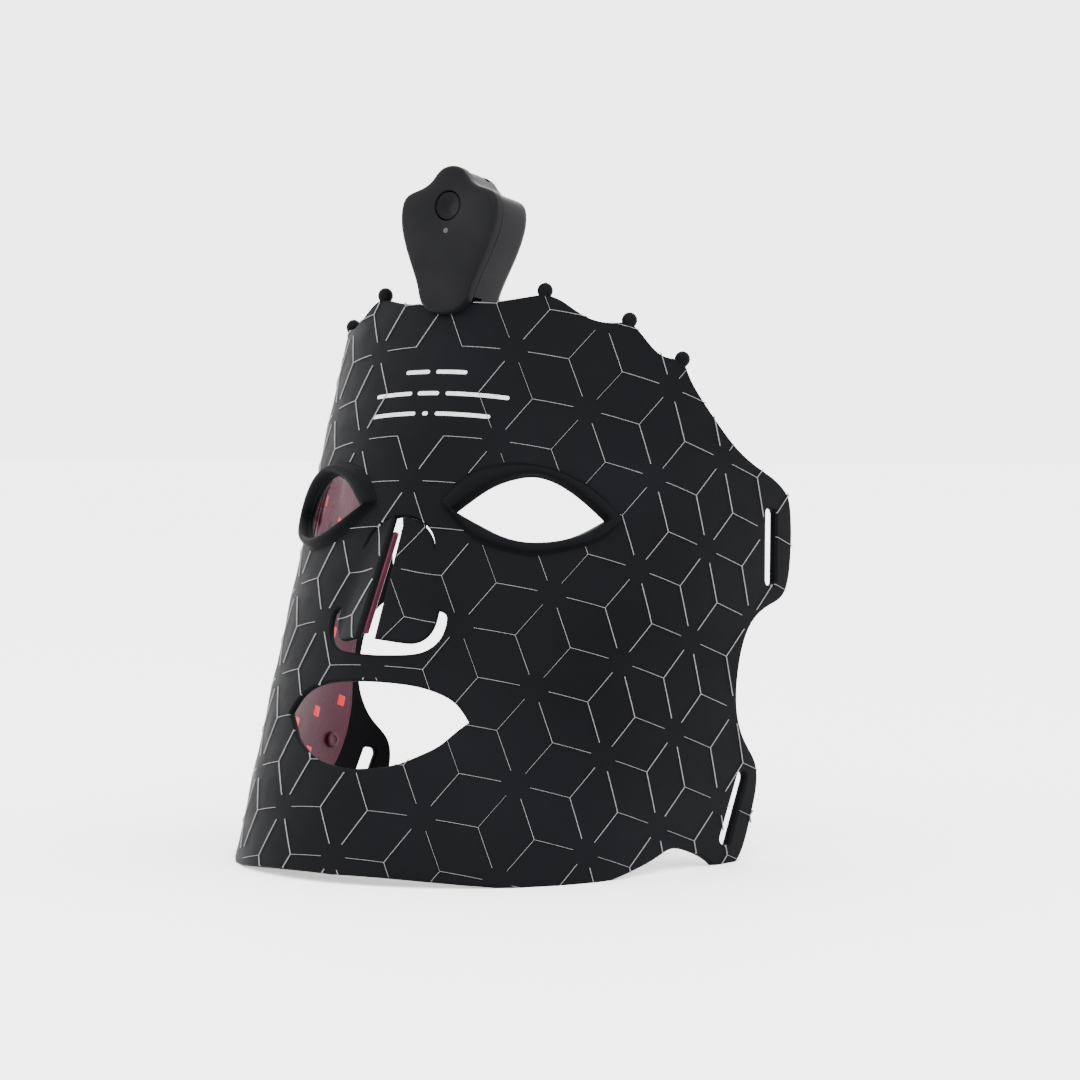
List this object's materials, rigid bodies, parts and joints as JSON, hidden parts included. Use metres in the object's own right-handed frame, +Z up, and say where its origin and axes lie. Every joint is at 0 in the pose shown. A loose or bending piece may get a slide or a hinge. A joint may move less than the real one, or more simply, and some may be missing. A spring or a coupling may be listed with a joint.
{
  "type": "led face mask",
  "caption": "Flexible black light therapy face mask with eye rims, nose flaps, mouth opening, strap slots and a forehead control box.",
  "frame": {"origin": "middle of the overall box, at the level the standing edge rests on", "axes": "+Z up, -Y out of the face to the front, +X toward the viewer's right"},
  "size_m": [0.154, 0.146, 0.2201],
  "materials": {
    "black_silicone": "matte",
    "clear_silicone": "satin, translucent rose",
    "flex_film": "matte",
    "led_package": "gloss",
    "satin_black": "satin",
    "dark_plastic": "matte",
    "board_green": "satin",
    "cell_foil": "satin",
    "foam": "matte",
    "clear_plastic": "clear",
    "port_metal": "satin",
    "screw_steel": "black oxide"
  },
  "bodies": {
    "centre_panel": {"face_shell": "black_silicone", "centre_liner": "clear_silicone", "centre_flex_sheet": "flex_film", "leds_forehead": "led_package", "leds_cheeks": "led_package", "leds_chin": "led_package", "liner_studs": "clear_silicone", "eye_rim_right": "black_silicone", "eye_rim_left": "black_silicone", "box_front_cover": "satin_black", "box_rear_housing": "satin_black", "box_seal": "black_silicone", "button_switch": "dark_plastic", "control_board": "board_green", "battery_cell": "cell_foil", "battery_pad": "foam", "flex_connector": "dark_plastic", "control_chip": "dark_plastic", "status_light_pipe": "clear_plastic", "charging_port": "port_metal", "box_screws": "screw_steel"},
    "wing_right": {"wing_shell_right": "black_silicone", "wing_liner_right": "clear_silicone", "wing_flex_sheet_right": "flex_film", "wing_leds_right": "led_package"},
    "flap_right": {"nose_flap_right": "black_silicone", "nose_flap_liner_right": "clear_silicone", "nose_flap_leds_right": "led_package"},
    "wing_left": {"wing_shell_left": "black_silicone", "wing_liner_left": "clear_silicone", "wing_flex_sheet_left": "flex_film", "wing_leds_left": "led_package"},
    "flap_left": {"nose_flap_left": "black_silicone", "nose_flap_liner_left": "clear_silicone", "nose_flap_leds_left": "led_package"},
    "button": {"power_button": "satin_black"}
  },
  "joints": [
    {"name": "wing_right_bend", "type": "hinge", "parent": "centre_panel", "child": "wing_right", "pos_m": [0.06483, 0.00746, 0.07472], "axis": [0, -0.3486, -0.9373], "range_deg": [-8, 40], "stiffness_Nm_per_rad": 0.08},
    {"name": "wing_left_bend", "type": "hinge", "parent": "centre_panel", "child": "wing_left", "pos_m": [-0.07403, 0.00746, 0.07472], "axis": [0, 0.3486, 0.9373], "range_deg": [-8, 40], "stiffness_Nm_per_rad": 0.08},
    {"name": "flap_right_bend", "type": "hinge", "parent": "centre_panel", "child": "flap_right", "pos_m": [0.00873, -0.03588, 0.09937], "axis": [-0.2484, 0.2856, 0.9256], "range_deg": [-18, 30], "stiffness_Nm_per_rad": 0.01},
    {"name": "flap_left_bend", "type": "hinge", "parent": "centre_panel", "child": "flap_left", "pos_m": [-0.01792, -0.03588, 0.09937], "axis": [-0.2484, -0.2856, -0.9256], "range_deg": [-18, 30], "stiffness_Nm_per_rad": 0.01},
    {"name": "power_button_press", "type": "slide", "parent": "centre_panel", "child": "button", "axis": [0, 0.9923, -0.1236], "range_m": [0, 0.0005], "stiffness_N_per_m": 400}
  ]
}
